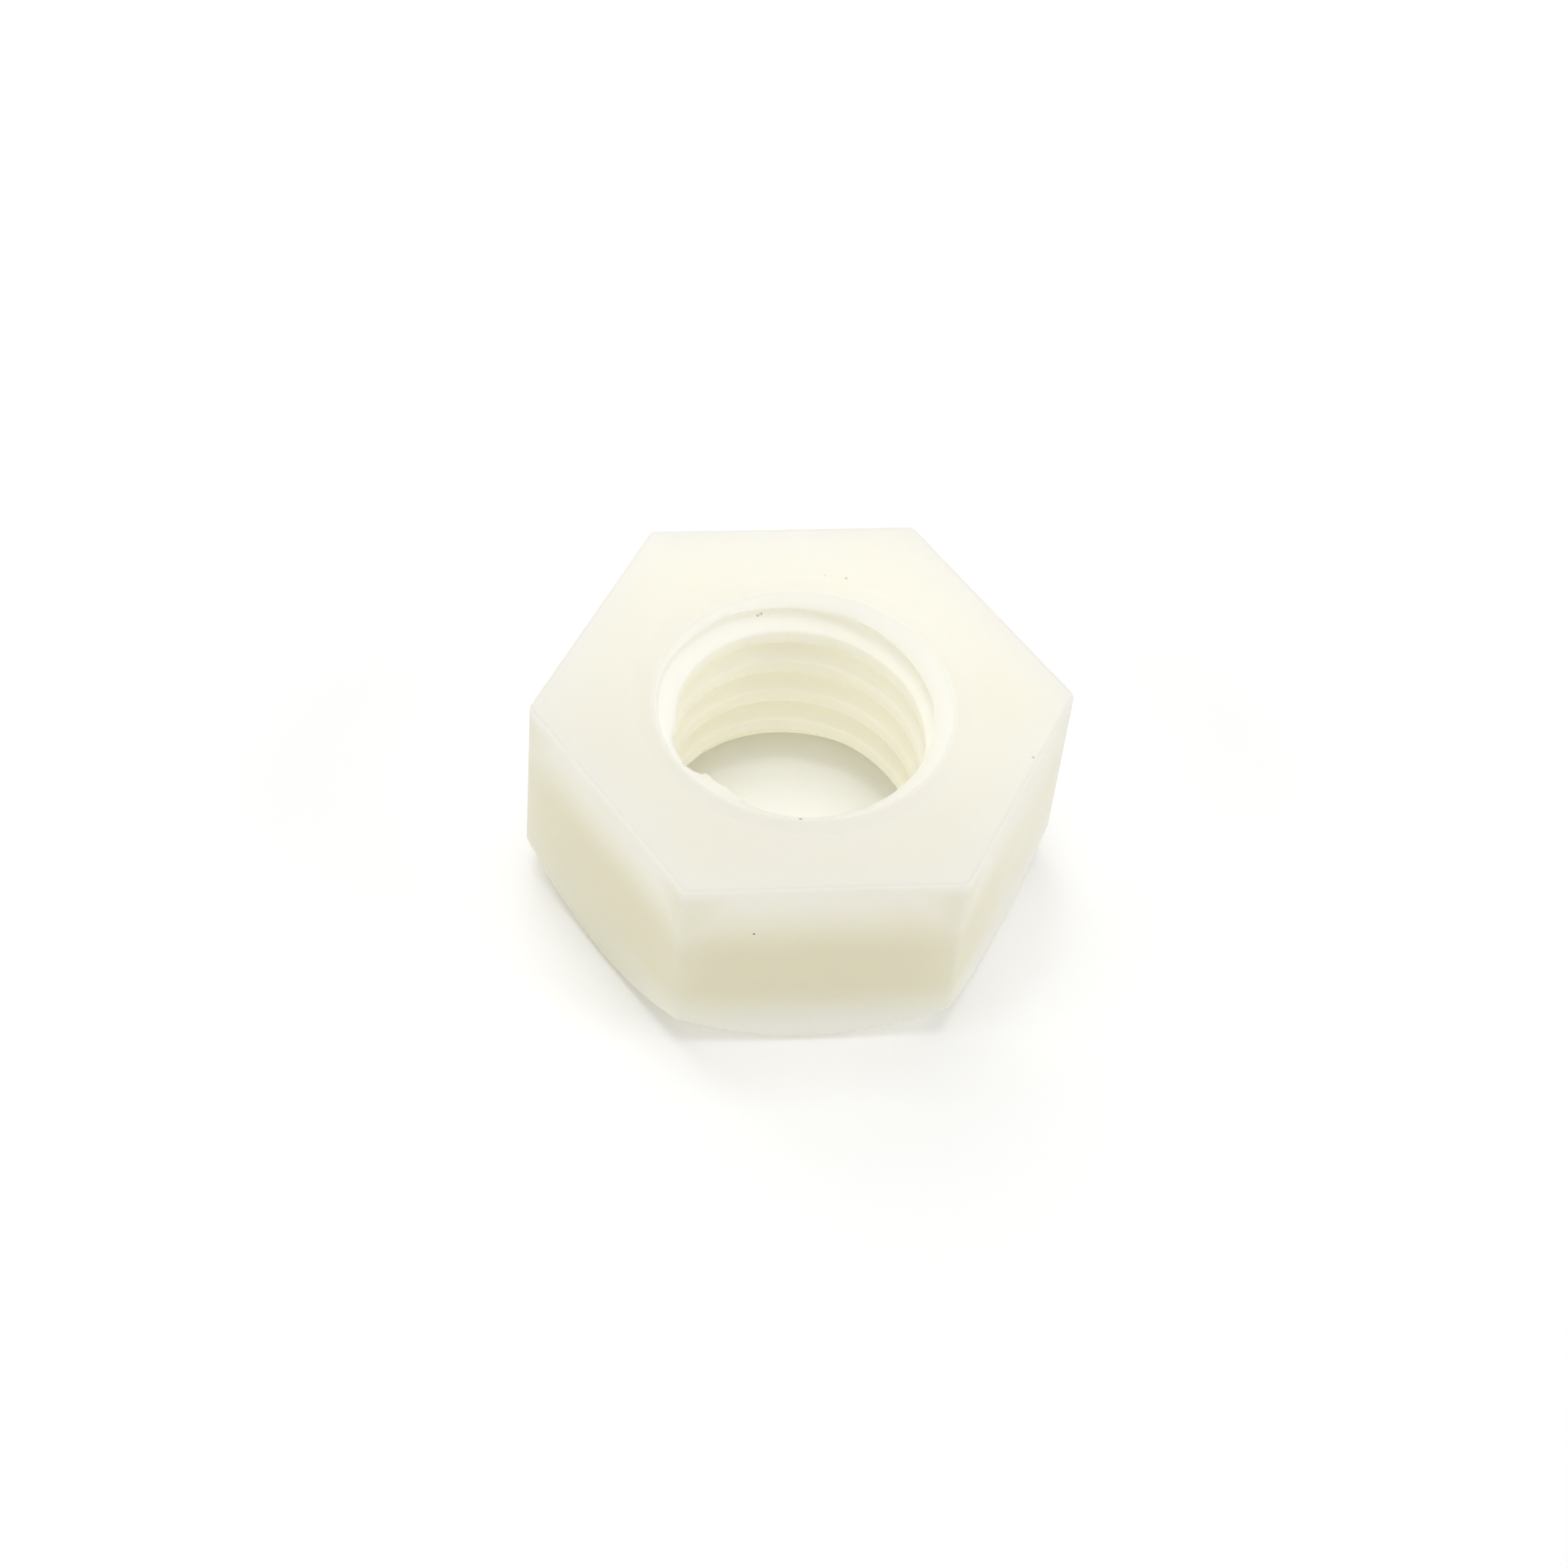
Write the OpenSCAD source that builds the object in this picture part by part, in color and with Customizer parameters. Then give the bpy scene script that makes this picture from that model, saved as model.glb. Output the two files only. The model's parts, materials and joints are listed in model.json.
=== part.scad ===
// Plastic hex nut, size M8 x 1.25, right-hand thread.
// One moulded piece. It stands on its chamfered side, centred on the origin,
// with the thread along +Z and one corner of the hexagon on +X. Millimetres.

/* [Hexagon] */
// Width across two opposite flats
across_flats = 13; // [10:0.1:19]
// Height between the two flat faces
height = 6.8; // [5:0.1:12]
// Rounding of the six upright corners: each is cut back as far as a fillet of this radius would
corner_r = 0.15; // [0.05:0.05:0.6]

/* [Underside chamfer] */
// Slope of the cone that cuts the six lower corners, from the underside
chamfer_slope = 45; // [20:1:50]
// Distance from the flats in to the rim of the flat underside
chamfer_inset = 0.2; // [0.05:0.05:0.5]

/* [Thread] */
// Nominal diameter of the thread
thread_d = 8; // [6:0.1:8.5]
// Rise of the thread in one turn
pitch = 1.25; // [0.75:0.05:1.75]
// Extra radius cut off the crests of the basic thread form
crest_cut = 0.13; // [0:0.01:0.15]
// Height of the groove's middle on the +X side, in its lowest turn
thread_start = 0.83; // [0:0.01:1.2]

/* [Thread mouths] */
// Full angle of the two countersinks
sink_angle = 90; // [80:1:120]
// Radial reach of the upper countersink beyond the thread
top_sink_over = 0.15; // [0.05:0.05:0.3]
// Radial reach of the lower countersink beyond the thread
bottom_sink_over = 0.8; // [0.05:0.05:0.9]
// Width of the shallow dished ring round the upper countersink
dish_w = 0.53; // [0.1:0.01:0.7]
// Depth of the dished ring at its inner edge
dish_h = 0.12; // [0.02:0.01:0.3]

/* [Hidden] */

// Facets on round surfaces, and steps in one turn of the thread
ROUND_FN = 96;
TURN_STEPS = 48;
// How far a cutting shape runs past the surface that it cuts
PAST = 1;
// How far the groove cutter starts inside the bore's wall, clear of its facets
GROOVE_LEAD = 0.1;

flat_r = across_flats / 2;
corner_reach = flat_r / cos(30);

// Basic 60 degree thread form: the groove's floor is pitch/8 wide, and the
// basic crests lie 5/8 of the sharp triangle's height inside the nominal size
FLANK_ANGLE = 30;
major_r = thread_d / 2;
groove_floor = pitch / 8;
minor_r = major_r - 5 / 8 * pitch * cos(FLANK_ANGLE) + crest_cut;

// The groove cutter reaches inside the crests, so that it opens the wall
cutter_r = minor_r - crest_cut - GROOVE_LEAD;
first_turn = -2;
last_turn = ceil(height / pitch) + 2;

top_sink_r = major_r + top_sink_over;
bottom_sink_r = major_r + bottom_sink_over;
dish_r = top_sink_r + dish_w;
sink_slope = 90 - sink_angle / 2;

function groove_w(r) = groove_floor + 2 * (major_r - r) * tan(FLANK_ANGLE);

// One cross-section of the groove: inner pair of points, then outer pair
function groove_section(a) =
    let (z = thread_start + pitch * a / 360)
    [for (p = [
        [cutter_r, -groove_w(cutter_r) / 2],
        [major_r, -groove_floor / 2],
        [major_r, groove_floor / 2],
        [cutter_r, groove_w(cutter_r) / 2]
    ]) [p[0] * cos(a), p[0] * sin(a), z + p[1]]];

// Hexagonal bar, with its corners blunted by a round bar of slightly less reach
module hexagon_bar() {
    blunt_reach = corner_reach - corner_r * (1 / cos(30) - 1);
    linear_extrude(height) {
        intersection() {
            circle(r = corner_reach, $fn = 6);
            circle(r = blunt_reach, $fn = ROUND_FN);
        }
    }
}

// Cone that opens upward from the flat underside and trims the lower corners
module chamfer_cone() {
    rise = height + PAST;
    base_r = flat_r - chamfer_inset;
    cylinder(h = rise, r1 = base_r, r2 = base_r + rise / tan(chamfer_slope), $fn = ROUND_FN);
}

// Everything cut round the axis: bore, two countersinks and the dished ring
module bore() {
    bottom_sink_h = (bottom_sink_r - minor_r) * tan(sink_slope);
    top_sink_h = (top_sink_r - minor_r) * tan(sink_slope);
    dish_z = height - dish_h;
    rotate_extrude($fn = ROUND_FN)
        polygon([
            [0, -PAST],
            [bottom_sink_r, -PAST],
            [bottom_sink_r, 0],
            [minor_r, bottom_sink_h],
            [minor_r, dish_z - top_sink_h],
            [top_sink_r, dish_z],
            [dish_r, height],
            [dish_r, height + PAST],
            [0, height + PAST]
        ]);
}

// Helical groove, one long sweep that runs out past both faces
module thread_groove() {
    first = first_turn * TURN_STEPS;
    last = last_turn * TURN_STEPS;
    count = last - first;
    points = [for (i = [first : last]) each groove_section(360 * i / TURN_STEPS)];
    sides = [for (i = [0 : count - 1], k = [0 : 3])
        let (a = 4 * i + k, b = 4 * i + (k + 1) % 4)
        each [[a, b, a + 4], [b, b + 4, a + 4]]];
    first_cap = [[3, 2, 1, 0]];
    last_cap = [[for (k = [0 : 3]) 4 * count + k]];
    polyhedron(points = points, faces = concat(first_cap, sides, last_cap), convexity = 12);
}

module nut() {
    color("ivory")
    difference() {
        intersection() {
            hexagon_bar();
            chamfer_cone();
        }
        bore();
        thread_groove();
    }
}

nut();
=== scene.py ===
"""The looks of a white nylon hex nut, M8 x 1.25, lying on a white table.

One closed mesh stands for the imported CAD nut. Unless a comment says otherwise, lengths are in millimetres,
angles in degrees, and heights are above the flat underside. In the nut's own frame the thread runs along +Z,
the underside lies on z = 0 and one corner of the hexagon points along +X. Directions are counted from +X,
anticlockwise as seen from above.
"""

import json
import math

import bmesh
import bpy
import numpy as np
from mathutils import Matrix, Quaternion, Vector


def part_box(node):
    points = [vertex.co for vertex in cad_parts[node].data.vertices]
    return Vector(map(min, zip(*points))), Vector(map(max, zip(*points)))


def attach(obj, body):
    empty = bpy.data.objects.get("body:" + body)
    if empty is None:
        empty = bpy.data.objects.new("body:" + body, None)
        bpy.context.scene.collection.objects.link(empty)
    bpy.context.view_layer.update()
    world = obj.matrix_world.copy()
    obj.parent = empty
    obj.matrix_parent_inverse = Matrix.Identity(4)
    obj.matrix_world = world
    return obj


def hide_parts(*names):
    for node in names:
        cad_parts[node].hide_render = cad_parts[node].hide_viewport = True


MM = 0.001
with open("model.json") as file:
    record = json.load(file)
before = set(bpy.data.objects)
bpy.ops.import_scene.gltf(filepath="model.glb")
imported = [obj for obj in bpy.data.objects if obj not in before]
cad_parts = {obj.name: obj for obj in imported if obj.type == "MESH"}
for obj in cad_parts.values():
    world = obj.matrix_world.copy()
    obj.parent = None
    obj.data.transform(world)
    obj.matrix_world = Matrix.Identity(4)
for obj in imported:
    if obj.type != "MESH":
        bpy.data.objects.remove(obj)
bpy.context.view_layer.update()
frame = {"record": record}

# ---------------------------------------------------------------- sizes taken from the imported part
_, box_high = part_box("nut")
HEIGHT = box_high.z / MM
FLAT_R = box_high.y / MM
mounts = {mount["name"]: mount for mount in frame["record"]["mounts"]}
MINOR_R = mounts["thread"]["dims"]["r_mm"]

# ---------------------------------------------------------------- sizes of the nut's own forms
CORNER_R = 0.25         # fillet on the six upright corners
TOP_EDGE_R = 0.14       # softened edge round the upper face
CHAMFER_SLOPE = math.radians(45)
CHAMFER_INSET = 0.2     # from the flats in to the rim of the underside
CHAMFER_EDGE_R = 0.22   # softened edge between the chamfer and the flats
RIM_EDGE_R = 0.12       # softened rim of the underside
BASE_R = FLAT_R - CHAMFER_INSET

PITCH = 1.25
MAJOR_R = 4.0
FLANK = math.radians(30)
GROOVE_FLOOR = PITCH / 8
THREAD_START = 0.83     # height of the groove's middle on the +X side, in its lowest turn
CREST_EDGE_R = 0.1      # softened edges of the thread's crests
ROOT_EDGE_R = 0.1       # and of its grooves' floors
SPARE_TURNS = 2         # turns made beyond each face, and clipped off

SINK_SLOPE = math.radians(45)
TOP_SINK_R = MAJOR_R + 0.15
BOTTOM_SINK_R = MAJOR_R + 0.8
DISH_R = TOP_SINK_R + 0.53
DISH_DEPTH = 0.12
DISH_Z = HEIGHT - DISH_DEPTH
SINK_EDGE_R = 0.15      # crease between the dish and the upper countersink
DISH_EDGE_R = 0.5       # soft outer edge of the dish
BOTTOM_EDGE_R = 0.06    # softened edge between the lower countersink and the underside
BLEND = 0.05            # how softly the thread runs out into the countersinks
SINK_LEAD = 0.12        # how far the outer surface's rows go into each countersink

# ---------------------------------------------------------------- the crest that the tap tore
# It is the last one, where the upper countersink cuts it. In each direction: how far the torn edge stands in
# from the crest, or with a minus how far the crest is broken back.
TORN_EDGE = (
    (180, 0.0),
    (187, -0.18),
    (193, -0.28),
    (200, -0.34),
    (209, -0.38),
    (211.5, -0.25),
    (213, 0.08),
    (217, 0.15),
    (220, 0.13),
    (225, 0.18),
    (229, 0.13),
    (236, 0.09),
    (246, 0.03),
    (250, 0.0),
)
TORN_TAPER = 3.0        # how thin its tip is: it goes back 3 mm for each 1 mm up or down
TORN_LEAST = 0.02       # below this the edge isn't ragged
RAGGED = 0.03           # how far the torn edge goes in and out
RAGGED_POINTS = 181     # random places for that, spread evenly round the circle
RAGGED_SEED = 8
LAST_GROOVE = 3         # turns from the lowest groove up to the one under the torn crest

# ---------------------------------------------------------------- how finely the mesh follows the forms
COLUMN_STEP = 1.5       # angle between two columns of points
TORN_COLUMN_STEP = 0.5  # the same at the torn crest
CORNER_COLUMNS = (0.0, 0.12, 0.24, 0.36, 0.48, 0.6, 0.75)  # angles from each corner, round its fillet
CORNER_CLEAR = 1        # the torn crest's columns keep this angle from a corner
THREAD_ARC_STEPS = 4    # steps round each softened edge of the thread
THREAD_LINE_STEPS = (2, 5, 1, 5, 2)         # half crest, flank, groove's floor, flank, half crest
OUTER_ARC_STEPS = 5     # the same outside the thread
OUTER_LINE_STEPS = (2, 4, 8, 12, 5, 6, 2)   # from the upper countersink, over the outside, to the lower one
SAME_POINT = 1e-7       # in metres: points closer than this are joined
SHARP_ANGLE = math.radians(50)              # only the torn crest has edges as sharp as this

# ---------------------------------------------------------------- specks of dirt
# For each: x, y and z of its place, radius, and how dark it is, from 0 to 1.
SPECKS = (
    (1.62, 4.49, HEIGHT, 0.035, 0.45),
    (1.01, 4.60, HEIGHT, 0.03, 0.15),
    (2.44, 4.00, HEIGHT - 0.05, 0.035, 0.2),
    (6.01, -2.24, HEIGHT, 0.04, 0.4),
    (-1.82, -6.50, 4.91, 0.035, 0.9),
    (-0.79, 3.87, 6.07, 0.035, 0.5),
    (-0.84, 3.85, 6.06, 0.03, 0.35),
    (-0.90, 3.81, 6.06, 0.035, 0.5),
    (-0.43, -3.76, 6.25, 0.065, 0.8),
    (-0.44, -3.84, 6.33, 0.065, 0.8),
    (-0.45, -3.91, 6.41, 0.065, 0.8),
    (-0.46, -3.99, 6.49, 0.065, 0.8),
    (-0.58, -3.85, 6.42, 0.03, 0.3),
    (0.07, -3.92, 6.43, 0.03, 0.3),
    (0.16, -3.92, 6.43, 0.03, 0.3),
)
SPECK_TEAR = 0.05       # size of the ragged features of their outlines
SPECK_RAGGED = 0.06     # how far those outlines are torn out of round
SPECK_FADE = (0.6, 1.3)  # shares of the radius between which a speck fades away

# ---------------------------------------------------------------- the nylon
NYLON = (0.935, 0.905, 0.785)      # milky, undyed
NYLON_YELLOW_AND_SHADE = (0.80, 0.765, 0.58)   # yellowed nylon for faint clouds; also painted shade low on the flats and at the corners
NYLON_TOP_SHADE = (0.787, 0.77, 0.685)   # painted shade on the upper face and in the dish, strongest on one side
NYLON_PAINTED_LIGHT = (0.998, 0.982, 0.89)   # brighter nylon, painted light in the bore and on the chamfer
DIRT = (0.10, 0.09, 0.06)

# Each pair says where one look gives way to the next: between two heights, two distances from the thread's
# axis, or two places along the shaded or the lit direction.
SHADED_SIDE = 245                    # the direction whose flats and upper face get the most painted shade
FLAT_SHADE_HEIGHTS = (3.8, 6.2)          # painted shade below, plain above
FLAT_SHADE_ALONG = (-1.0, 6.0)           # least before, most beyond
FLAT_SHADE_LEAST = 0.25                  # share of the painted shade on the side that gets least
CORNER_RADII = (6.9, 7.45)         # the six corners get painted shade further up
CORNER_HEIGHTS = (6.2, 6.7)
CORNER_SHADE = 0.55                 # and this much
TOP_SHADE_HEIGHTS = (6.72, 6.79)        # plain below, painted shade above
TOP_SHADE_ALONG = (-6.5, 6.0)           # least before, most beyond
TOP_SHADE_LEAST = 0.1                   # share of the painted shade on the side that gets least
DISH_RADII = (DISH_R, DISH_R + 0.2)  # the dish inside, the upper face outside
DISH_SHADE_HEIGHTS = (6.2, 6.5)          # the dish gets painted shade down to here
BORE_RADII = (MAJOR_R, TOP_SINK_R + 0.1)  # painted light inside, the dish outside
LIT_SIDE = -60                   # the direction where the chamfer gets the most painted light
LIT_ALONG = (0.0, 5.5)           # least before, most beyond
LIT_LEAST = 0.25                 # share of the painted light on the side that gets least
CHAMFER_HEIGHTS = (0.2, 2.6)       # painted light below, the flats' colour above

CLOUD_SIZE = 2.5                   # faint yellow clouds
CLOUD_NOISE = (0.35, 0.75)         # none below, most above
CLOUD_MOST = 0.1                   # how yellow they get
GRAIN_SIZE = 0.12                  # fine grain of the surface
GRAIN_DETAIL = 3.0
GRAIN_NOISE = (0.3, 0.7)           # smoothest below, roughest above
GRAIN_ROUGHNESS = (0.58, 0.7)
GRAIN_DEPTH = 0.006
GRAIN_STRENGTH = 0.4
WAVE_SIZE = 0.9                    # gentle sink waves
WAVE_DEPTH = 0.02
WAVE_STRENGTH = 0.5

SCATTER = 4.0                      # how far light goes in the nylon before it turns
SCATTER_BY_COLOUR = (1.0, 0.9, 0.75)  # red light goes furthest
SCATTER_SHARE = 0.5                # the rest is turned back at the surface itself
SCATTER_SHARE_LOW = 0.1            # the same at the lower rim
SCATTER_HEIGHTS = (0.6, 1.8)       # the lower rim below, the rest above
NYLON_IOR = 1.53
NYLON_SPECULAR = 0.3

# ---------------------------------------------------------------- table and light
TABLE_SIZE = 2.0                   # in metres
TABLE_GAP = 0.02                   # the nut rests on specks of dust, so light gets in under it
TABLE_WHITE = (0.96, 0.96, 0.96)
TABLE_SHADE_IN_HOLE = (0.91, 0.925, 0.98)  # painted shade: the table seen through the bore is darker and bluer than the open table
HOLE_SHADE_RADII = (BOTTOM_SINK_R - 0.2, BOTTOM_SINK_R)  # the painted shade inside, the open table outside
TABLE_ROUGHNESS = 0.9
TABLE_LIFT = 0.04                  # light added only where the open table is seen, so that it shows white; none under the bore
ROOM_COLOUR = (1.0, 1.0, 1.0)
ROOM_LIGHT = 0.235                 # from all round, beside the lamps
LAMPS = (
    # name, azimuth, elevation, distance and size in metres, power in watts
    ("key", -100, 73, 0.5, 0.1, 0.04),
    ("top", 80, 88, 0.5, 0.3, 0.98),
    ("front", -100, 45, 0.5, 0.3, 0.2),
    ("left", 200, 25, 0.5, 0.3, 0.55),
    ("right", -20, 25, 0.5, 0.3, 0.73),
    ("back", 110, 50, 0.15, 0.12, 0.068),
)
LIGHT_BOUNCES = 32                 # the bore is lit mostly by light that goes round inside it

# ---------------------------------------------------------------- camera
CAMERA_AZIMUTH = -100.4
CAMERA_ELEVATION = 49.9
CAMERA_DISTANCE = 96.2             # from the middle of the nut
CAMERA_AIM = (-0.31, -0.03, 3.265)
CAMERA_ROLL = 6.32
CAMERA_LENS = 78.96
CAMERA_SENSOR = 36.0
CAMERA_CLIP = 10.0                 # nothing nearer than this shows


# ---------------------------------------------------------------- mesh of the nut
def column_angles():
    """Angles of the mesh's columns: even, closer at the torn crest and closest round each corner's fillet."""
    near = np.array(CORNER_COLUMNS)
    even = np.arange(COLUMN_STEP, 60 - near[-1], COLUMN_STEP)
    sector = np.unique(np.concatenate([near, even, 60 - near[1:]]))
    ring = np.concatenate([sector + 60 * k for k in range(6)])
    torn = np.arange(TORN_EDGE[0][0] + TORN_COLUMN_STEP, TORN_EDGE[-1][0], TORN_COLUMN_STEP)
    from_corner = np.abs((torn + 30) % 60 - 30)
    torn = torn[from_corner > CORNER_CLEAR]
    return np.radians(np.unique(np.concatenate([ring, torn])))


def hexagon_reach(theta):
    """Distance from the axis to the hexagon's rounded outline, in each direction."""
    half_sector = math.pi / 6
    from_corner = np.abs((theta + half_sector) % (2 * half_sector) - half_sector)
    centre = (FLAT_R - CORNER_R) / math.cos(half_sector)
    tangent = math.atan2(CORNER_R / 2, centre + CORNER_R * math.cos(half_sector))
    flat = FLAT_R / np.cos(half_sector - from_corner)
    inside = np.maximum(CORNER_R**2 - (centre * np.sin(from_corner)) ** 2, 0)
    fillet = centre * np.cos(from_corner) + np.sqrt(inside)
    return np.where(from_corner < tangent, fillet, flat)


def unit(vectors):
    return vectors / np.linalg.norm(vectors, axis=-1, keepdims=True)


def rounded_path(corners, radii, arc_steps, line_steps):
    """Rows of points along a path whose inner corners are rounded by true arcs.

    corners is an array (corner, column, 2). The path starts and ends on its first and last corner. Each
    straight stretch has its own number of steps, which are shortest at its ends.
    """
    ends = [(corners[0], corners[0])]
    arcs = []
    for before, here, after, radius in zip(corners, corners[1:], corners[2:], radii):
        back = unit(before - here)
        on = unit(after - here)
        half = np.arccos(np.clip((back * on).sum(-1, keepdims=True), -1, 1)) / 2
        reach = radius / np.tan(half)
        centre = here + unit(back + on) * radius / np.sin(half)
        start = here + back * reach
        end = here + on * reach
        sweep = math.pi - 2 * half
        share = np.linspace(0, 1, arc_steps + 1)[1:-1, None, None]
        a, b = start - centre, end - centre
        arcs.append(centre + (np.sin((1 - share) * sweep) * a + np.sin(share * sweep) * b) / np.sin(sweep))
        ends.append((start, end))
    ends.append((corners[-1], corners[-1]))

    rows = []
    for (_, leave), (arrive, _), arc, steps in zip(ends, ends[1:], arcs + [None], line_steps):
        share = (1 - np.cos(np.linspace(0, math.pi, steps + 1))) / 2
        rows.append(leave + (arrive - leave) * share[:, None, None])
        if arc is not None:
            rows.append(arc)
    return np.concatenate(rows)


def thread_profile():
    """One pitch of the thread: heights from the groove's middle, and radii, from crest to crest."""
    crest_edge = GROOVE_FLOOR / 2 + (MAJOR_R - MINOR_R) * math.tan(FLANK)
    corners = np.array([
        (-PITCH / 2, MINOR_R),
        (-crest_edge, MINOR_R),
        (-GROOVE_FLOOR / 2, MAJOR_R),
        (GROOVE_FLOOR / 2, MAJOR_R),
        (crest_edge, MINOR_R),
        (PITCH / 2, MINOR_R),
    ])[:, None, :]
    radii = (CREST_EDGE_R, ROOT_EDGE_R, ROOT_EDGE_R, CREST_EDGE_R)
    points = rounded_path(corners, radii, THREAD_ARC_STEPS, THREAD_LINE_STEPS)[:-1, 0]
    return points[:, 0], points[:, 1]


def soft_max(a, b, width):
    """The larger of two lengths, with a smooth change-over of the given width."""
    near = np.clip(width - np.abs(a - b), 0, None) / width
    return np.maximum(a, b) + near**2 * width / 4


def tear_crest(theta, r, z):
    """Draws the last crest's upper edge in or breaks it back, and puts a row of points on the edge."""
    degrees = np.degrees(theta)
    reach = np.interp(degrees, *zip(*TORN_EDGE))
    random = np.random.default_rng(RAGGED_SEED).uniform(-1, 1, RAGGED_POINTS)
    ragged = RAGGED * np.interp(degrees, np.linspace(0, 360, RAGGED_POINTS), random)
    reach += ragged * (np.abs(reach) > TORN_LEAST)

    edge_z = DISH_Z - (TOP_SINK_R - MINOR_R) * math.tan(SINK_SLOPE)
    drawn = np.flatnonzero(reach > 0)
    nearest = np.abs(z - edge_z).argmin(0)
    z[nearest[drawn], drawn] = edge_z
    drawn_in = np.minimum(r, MINOR_R - reach + np.abs(z - edge_z) * TORN_TAPER)
    r = np.where(reach > 0, drawn_in, r)

    last_groove = THREAD_START + PITCH * (LAST_GROOVE + theta / (2 * math.pi))
    broken_back = np.maximum(r, MINOR_R - reach)
    return np.where((reach < 0) & (z > last_groove), broken_back, r), z


def bore_rows(theta, z_low, z_high):
    """The threaded wall, from the lower countersink up to the upper one. Its rows climb with the thread."""
    profile_z, profile_r = thread_profile()
    turns = range(-SPARE_TURNS, math.ceil(HEIGHT / PITCH) + SPARE_TURNS)
    start_z = np.concatenate([THREAD_START + PITCH * turn + profile_z for turn in turns])
    z = np.clip(start_z[:, None] + PITCH * theta / (2 * math.pi), z_low, z_high)
    r = np.tile(profile_r, len(turns))[:, None]
    lower_sink = BOTTOM_SINK_R - z / math.tan(SINK_SLOPE)
    upper_sink = TOP_SINK_R - (DISH_Z - z) / math.tan(SINK_SLOPE)
    r = soft_max(r, np.maximum(lower_sink, upper_sink), BLEND)
    r, z = tear_crest(theta, r, z)
    return np.stack([r, z], -1), len(profile_z)


def outer_rows(theta):
    """Everything outside the thread: dish, upper face, flats, chamfer and underside."""
    all_round = np.ones_like(theta)

    def ring(r, z):
        return np.stack([r * all_round, z * all_round], -1)

    hexagon = hexagon_reach(theta)
    chamfer_z = (hexagon - BASE_R) * math.tan(CHAMFER_SLOPE)
    lead_z = SINK_LEAD * math.tan(SINK_SLOPE)
    corners = np.array([
        ring(TOP_SINK_R - SINK_LEAD, DISH_Z - lead_z),
        ring(TOP_SINK_R, DISH_Z),
        ring(DISH_R, HEIGHT),
        ring(hexagon, HEIGHT),
        ring(hexagon, chamfer_z),
        ring(BASE_R, 0),
        ring(BOTTOM_SINK_R, 0),
        ring(BOTTOM_SINK_R - SINK_LEAD, lead_z),
    ])
    radii = (SINK_EDGE_R, DISH_EDGE_R, TOP_EDGE_R, CHAMFER_EDGE_R, RIM_EDGE_R, BOTTOM_EDGE_R)
    return rounded_path(corners, radii, OUTER_ARC_STEPS, OUTER_LINE_STEPS)


def build_nut():
    """The whole nut as one closed mesh. Its rows go round the thread's axis, its columns round the wall."""
    theta = column_angles()
    outer = outer_rows(theta)
    z_high = outer[0, 0, 1]
    z_low = outer[-1, 0, 1]
    bore, pitch_rows = bore_rows(theta, z_low, z_high)
    rows = np.concatenate([bore, outer])
    r, z = rows[..., 0], rows[..., 1]
    points = np.stack([r * np.cos(theta), r * np.sin(theta), z], -1) * MM

    row_count, column_count = r.shape
    straight = np.arange(row_count)
    # Round the seam each row of the thread meets the row one pitch higher in the first column
    climbed = np.where(straight < len(bore), np.minimum(straight + pitch_rows, len(bore) - 1), straight)
    faces = []
    for column in range(column_count):
        seam = column == column_count - 1
        here = straight * column_count + column
        there = climbed * column_count if seam else here + 1
        faces += np.stack([here, np.roll(here, -1), np.roll(there, -1), there], -1).tolist()

    mesh = bpy.data.meshes.new("nylon_nut")
    mesh.from_pydata(points.reshape(-1, 3).tolist(), [], faces)
    bm = bmesh.new()
    bm.from_mesh(mesh)
    bmesh.ops.remove_doubles(bm, verts=bm.verts, dist=SAME_POINT)
    bmesh.ops.recalc_face_normals(bm, faces=bm.faces)
    bm.to_mesh(mesh)
    bm.free()
    mesh.shade_smooth()
    mesh.set_sharp_from_angle(angle=SHARP_ANGLE)
    return add_object("nylon_nut", mesh)


def add_object(name, data):
    new_object = bpy.data.objects.new(name, data)
    bpy.context.scene.collection.objects.link(new_object)
    return new_object


def direction(azimuth, elevation):
    """The unit vector towards an azimuth and elevation."""
    a, e = math.radians(azimuth), math.radians(elevation)
    return Vector((math.cos(a) * math.cos(e), math.sin(a) * math.cos(e), math.sin(e)))


# ---------------------------------------------------------------- materials
def new_material(name):
    material = bpy.data.materials.new(name)
    material.use_nodes = True
    return material, material.node_tree, material.node_tree.nodes["Principled BSDF"]


def add_node(tree, kind, *links, **settings):
    """Adds a node. Each link is (input, value or the output of another node)."""
    node = tree.nodes.new(kind)
    for name, value in settings.items():
        setattr(node, name, value)
    for key, value in links:
        if isinstance(value, bpy.types.NodeSocket):
            tree.links.new(value, node.inputs[key])
        else:
            node.inputs[key].default_value = value
    return node


def add_math(tree, operation, first, second, **settings):
    node = add_node(tree, "ShaderNodeMath", (0, first), (1, second), operation=operation, **settings)
    return node.outputs[0]


def add_vector_math(tree, operation, output, *inputs):
    return add_node(tree, "ShaderNodeVectorMath", *enumerate(inputs), operation=operation).outputs[output]


def add_noise(tree, place, feature, detail=2.0):
    """Noise whose clouds are about one feature across."""
    scale = 1 / (feature * MM)
    return add_node(tree, "ShaderNodeTexNoise", ("Vector", place), ("Scale", scale), ("Detail", detail))


def add_ramp(tree, value, span, start, end):
    """Goes smoothly from start to end while the value goes over the span."""
    low, high = span
    ramp = add_node(tree, "ShaderNodeMapRange", (0, value), (1, low), (2, high), (3, start), (4, end),
                    interpolation_type="SMOOTHSTEP")
    return ramp.outputs[0]


def add_length_ramp(tree, length, span, start, end):
    """The same, where the value is a length in the scene's metres and the span is in millimetres."""
    return add_ramp(tree, length, (span[0] * MM, span[1] * MM), start, end)


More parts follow.
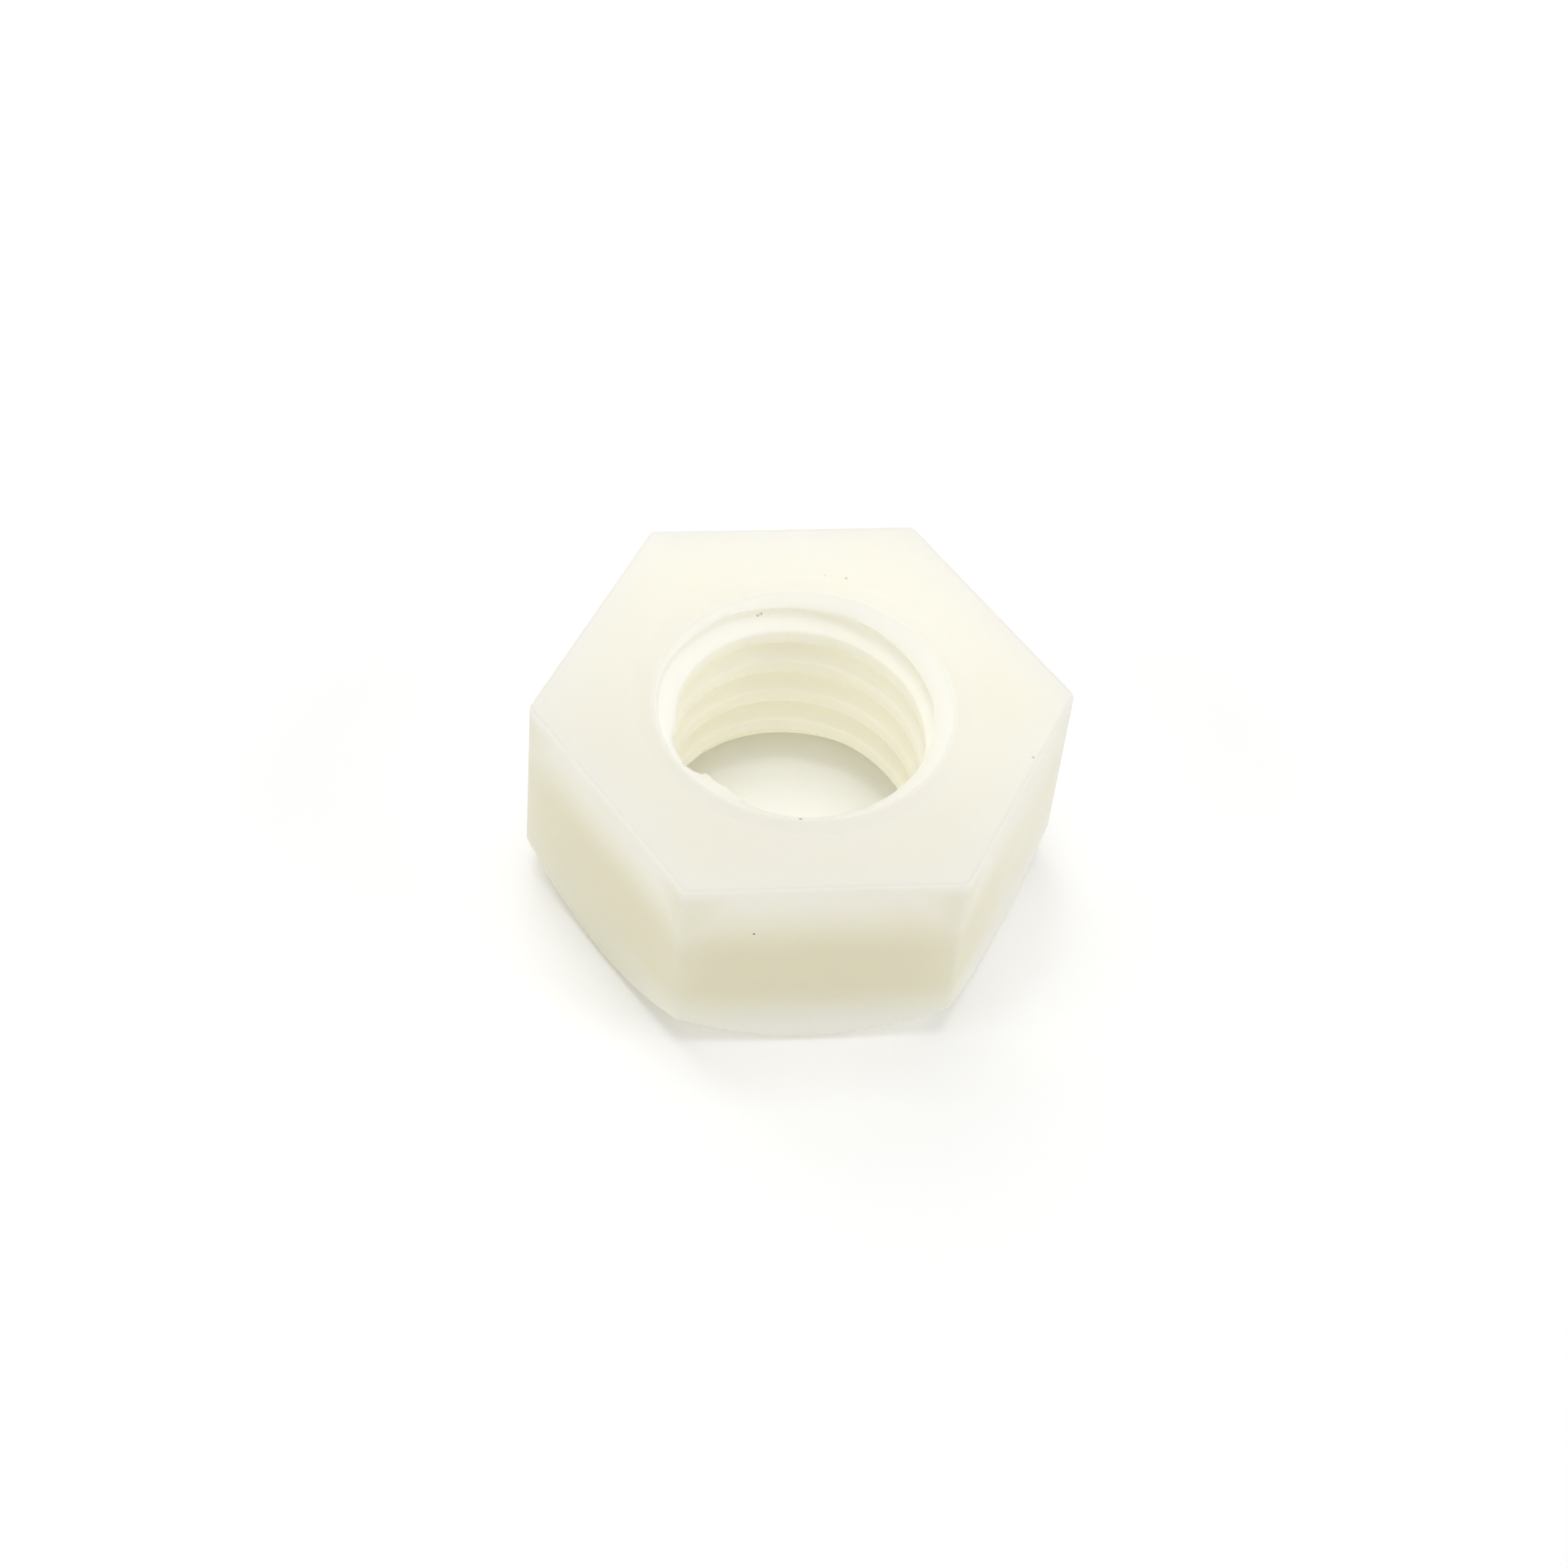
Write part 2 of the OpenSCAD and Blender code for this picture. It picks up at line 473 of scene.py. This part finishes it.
def mix_colours(tree, share, first, second):
    """The first colour with a share of the second. A Mix node's inputs 6 and 7 and output 2 are colours."""
    mix = add_node(tree, "ShaderNodeMix", (0, share), data_type="RGBA")
    for key, colour in ((6, first), (7, second)):
        if isinstance(colour, bpy.types.NodeSocket):
            tree.links.new(colour, mix.inputs[key])
        else:
            mix.inputs[key].default_value = (*colour, 1)
    return mix.outputs[2]


def add_specks(tree, place):
    """How dirty each point of the surface is, from 0 to 1."""
    tear = add_noise(tree, place, SPECK_TEAR).outputs["Color"]
    ragged = add_vector_math(tree, "MULTIPLY_ADD", "Vector", tear, (SPECK_RAGGED * MM,) * 3, place)
    dirt = 0.0
    for x, y, z, radius, darkness in SPECKS:
        middle = tuple((v + SPECK_RAGGED / 2) * MM for v in (x, y, z))
        away = add_vector_math(tree, "DISTANCE", "Value", ragged, middle)
        fade = [radius * share for share in SPECK_FADE]
        speck = add_length_ramp(tree, away, fade, darkness, 0.0)
        dirt = add_math(tree, "MAXIMUM", speck, dirt)
    return dirt


def nylon_colour(tree, place, height):
    """Plain nylon with painted shade low on the flats, at the corners and on the upper face, painted light in
    the bore and on the chamfer, faint yellow clouds, and dirty in specks.
    """
    level = add_vector_math(tree, "MULTIPLY", "Vector", place, (1, 1, 0))
    from_axis = add_vector_math(tree, "LENGTH", "Value", level)
    shaded_along = add_vector_math(tree, "DOT_PRODUCT", "Value", place, direction(SHADED_SIDE, 0))
    lit_along = add_vector_math(tree, "DOT_PRODUCT", "Value", place, direction(LIT_SIDE, 0))

    # Painted shade: the flats turn darker and yellower low down and at the six corners, most on one side.
    low = add_length_ramp(tree, height, FLAT_SHADE_HEIGHTS, 1.0, 0.0)
    corner = add_math(tree, "MULTIPLY",
                      add_length_ramp(tree, from_axis, CORNER_RADII, 0.0, CORNER_SHADE),
                      add_length_ramp(tree, height, CORNER_HEIGHTS, 1.0, 0.0))
    painted_flat_shade = add_math(tree, "MULTIPLY",
                    add_math(tree, "MAXIMUM", low, corner),
                    add_length_ramp(tree, shaded_along, FLAT_SHADE_ALONG, FLAT_SHADE_LEAST, 1.0))
    colour = mix_colours(tree, painted_flat_shade, NYLON, NYLON_YELLOW_AND_SHADE)

    # Painted shade: the upper face and the dish are darker, most on one side.
    face = add_length_ramp(tree, height, TOP_SHADE_HEIGHTS, 0.0, 1.0)
    dish = add_math(tree, "MULTIPLY",
                    add_length_ramp(tree, from_axis, DISH_RADII, 1.0, 0.0),
                    add_length_ramp(tree, height, DISH_SHADE_HEIGHTS, 0.0, 1.0))
    painted_top_shade = add_math(tree, "MULTIPLY",
                    add_math(tree, "MAXIMUM", face, dish),
                    add_length_ramp(tree, shaded_along, TOP_SHADE_ALONG, TOP_SHADE_LEAST, 1.0))
    colour = mix_colours(tree, painted_top_shade, colour, NYLON_TOP_SHADE)

    clouds = add_noise(tree, place, CLOUD_SIZE).outputs[0]
    colour = mix_colours(tree, add_ramp(tree, clouds, CLOUD_NOISE, 0.0, CLOUD_MOST), colour, NYLON_YELLOW_AND_SHADE)

    # Painted light: the bore and the lower chamfer are brighter, the chamfer most on one side.
    bore = add_length_ramp(tree, from_axis, BORE_RADII, 1.0, 0.0)
    chamfer = add_math(tree, "MULTIPLY",
                       add_length_ramp(tree, lit_along, LIT_ALONG, LIT_LEAST, 1.0),
                       add_length_ramp(tree, height, CHAMFER_HEIGHTS, 1.0, 0.0))
    colour = mix_colours(tree, add_math(tree, "MAXIMUM", bore, chamfer), colour, NYLON_PAINTED_LIGHT)
    return mix_colours(tree, add_specks(tree, place), colour, DIRT)


def nylon_material():
    material, tree, shader = new_material("milky_nylon")
    place = tree.nodes.new("ShaderNodeTexCoord").outputs["Object"]
    height = add_node(tree, "ShaderNodeSeparateXYZ", (0, place)).outputs["Z"]
    grain = add_noise(tree, place, GRAIN_SIZE, GRAIN_DETAIL).outputs[0]
    waves = add_noise(tree, place, WAVE_SIZE).outputs[0]
    wavy = add_node(tree, "ShaderNodeBump", ("Height", waves), ("Strength", WAVE_STRENGTH),
                    ("Distance", WAVE_DEPTH * MM)).outputs[0]
    grainy = add_node(tree, "ShaderNodeBump", ("Height", grain), ("Strength", GRAIN_STRENGTH),
                      ("Distance", GRAIN_DEPTH * MM), ("Normal", wavy)).outputs[0]
    roughness = add_ramp(tree, grain, GRAIN_NOISE, *GRAIN_ROUGHNESS)
    scatter_share = add_length_ramp(tree, height, SCATTER_HEIGHTS, SCATTER_SHARE_LOW, SCATTER_SHARE)

    tree.links.new(nylon_colour(tree, place, height), shader.inputs["Base Color"])
    tree.links.new(roughness, shader.inputs["Roughness"])
    tree.links.new(grainy, shader.inputs["Normal"])
    tree.links.new(scatter_share, shader.inputs["Subsurface Weight"])
    shader.inputs["IOR"].default_value = NYLON_IOR
    shader.inputs["Specular IOR Level"].default_value = NYLON_SPECULAR
    shader.subsurface_method = "RANDOM_WALK"
    shader.inputs["Subsurface Radius"].default_value = SCATTER_BY_COLOUR
    shader.inputs["Subsurface Scale"].default_value = SCATTER * MM
    return material


def table_material():
    material, tree, shader = new_material("white_table")
    place = tree.nodes.new("ShaderNodeTexCoord").outputs["Object"]
    from_axis = add_vector_math(tree, "LENGTH", "Value", place)
    # Painted shade: under the bore the table is darker, and gets no added light.
    outside_hole_shade = add_length_ramp(tree, from_axis, HOLE_SHADE_RADII, 0.0, 1.0)
    ray = tree.nodes.new("ShaderNodeLightPath").outputs
    seen = add_math(tree, "ADD", ray["Is Camera Ray"], ray["Is Glossy Ray"])
    seen = add_math(tree, "ADD", seen, ray["Is Transmission Ray"], use_clamp=True)
    lift = add_math(tree, "MULTIPLY", add_math(tree, "MULTIPLY", seen, outside_hole_shade), TABLE_LIFT)

    tree.links.new(mix_colours(tree, outside_hole_shade, TABLE_SHADE_IN_HOLE, TABLE_WHITE), shader.inputs["Base Color"])
    tree.links.new(lift, shader.inputs["Emission Strength"])
    shader.inputs["Emission Color"].default_value = (1, 1, 1, 1)
    shader.inputs["Roughness"].default_value = TABLE_ROUGHNESS
    return material


# ---------------------------------------------------------------- stage
def build_table():
    mesh = bpy.data.meshes.new("table")
    half = TABLE_SIZE / 2
    z = -TABLE_GAP * MM
    corners = [(-half, -half, z), (half, -half, z), (half, half, z), (-half, half, z)]
    mesh.from_pydata(corners, [], [(0, 1, 2, 3)])
    mesh.materials.append(table_material())
    add_object("table", mesh)


def turn_towards(new_object, towards, roll=0.0):
    """Points the object's back, its own +Z, in a direction, and rolls it about that."""
    rolled = Quaternion((0, 0, 1), math.radians(roll))
    new_object.rotation_mode = "QUATERNION"
    new_object.rotation_quaternion = towards.to_track_quat("Z", "Y") @ rolled


def add_lamp(name, azimuth, elevation, distance, size, power):
    lamp = bpy.data.lights.new(name, "AREA")
    lamp.shape = "SQUARE"
    lamp.size = size
    lamp.energy = power
    lamp_object = add_object(name, lamp)
    lamp_object.location = direction(azimuth, elevation) * distance
    lamp_object.visible_camera = False
    turn_towards(lamp_object, direction(azimuth, elevation))


def light_scene():
    world = bpy.data.worlds.new("soft_room")
    world.use_nodes = True
    background = world.node_tree.nodes["Background"]
    background.inputs["Color"].default_value = (*ROOM_COLOUR, 1)
    background.inputs["Strength"].default_value = ROOM_LIGHT
    bpy.context.scene.world = world
    for lamp in LAMPS:
        add_lamp(*lamp)
    bpy.context.scene.cycles.max_bounces = LIGHT_BOUNCES
    bpy.context.scene.cycles.diffuse_bounces = LIGHT_BOUNCES


def place_camera():
    camera = bpy.data.cameras.new("camera")
    camera.sensor_width = CAMERA_SENSOR
    camera.lens = CAMERA_LENS
    camera.clip_start = CAMERA_CLIP * MM
    camera_object = add_object("camera", camera)
    middle = Vector((0, 0, HEIGHT / 2)) * MM
    aim = Vector(CAMERA_AIM) * MM
    camera_object.location = middle + direction(CAMERA_AZIMUTH, CAMERA_ELEVATION) * CAMERA_DISTANCE * MM
    turn_towards(camera_object, camera_object.location - aim, CAMERA_ROLL)
    bpy.context.scene.camera = camera_object


nut = build_nut()
nut.data.materials.append(nylon_material())
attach(nut, "root")
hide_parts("nut")

build_table()
light_scene()
place_camera()
bpy.context.scene.view_settings.view_transform = "Standard"
